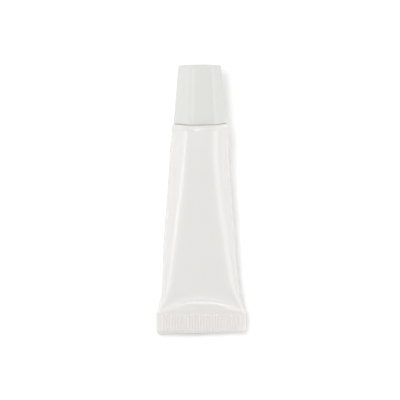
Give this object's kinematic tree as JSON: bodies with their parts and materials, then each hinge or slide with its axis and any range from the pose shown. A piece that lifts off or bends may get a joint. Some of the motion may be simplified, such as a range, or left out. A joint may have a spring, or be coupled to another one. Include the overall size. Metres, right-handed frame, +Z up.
{
  "type": "lip balm tube",
  "caption": "Small plastic squeeze tube of lip balm with a ribbed flat crimp at the tail and a tapered six-sided screw cap, lying on its belly.",
  "frame": {"origin": "on the surface the tube lies on, under the middle of its bounding box", "axes": "+Z up; +Y along the tube towards the cap; +X across the flat tail, to the right when seen from above with the cap away from the viewer"},
  "size_m": [0.0252, 0.0752, 0.0164],
  "materials": {
    "sleeve_plastic": "satin",
    "head_plastic": "satin",
    "cap_plastic": "satin",
    "balm_wax": "satin"
  },
  "bodies": {
    "tube": {"sleeve": "sleeve_plastic", "head": "head_plastic", "balm": "balm_wax"},
    "screw_cap": {"cap": "cap_plastic"}
  },
  "joints": [
    {"name": "cap_lift", "type": "slide", "parent": "tube", "child": "screw_cap", "axis": [0, 0.9964, 0.0849], "range_m": [0, 0.016]}
  ]
}
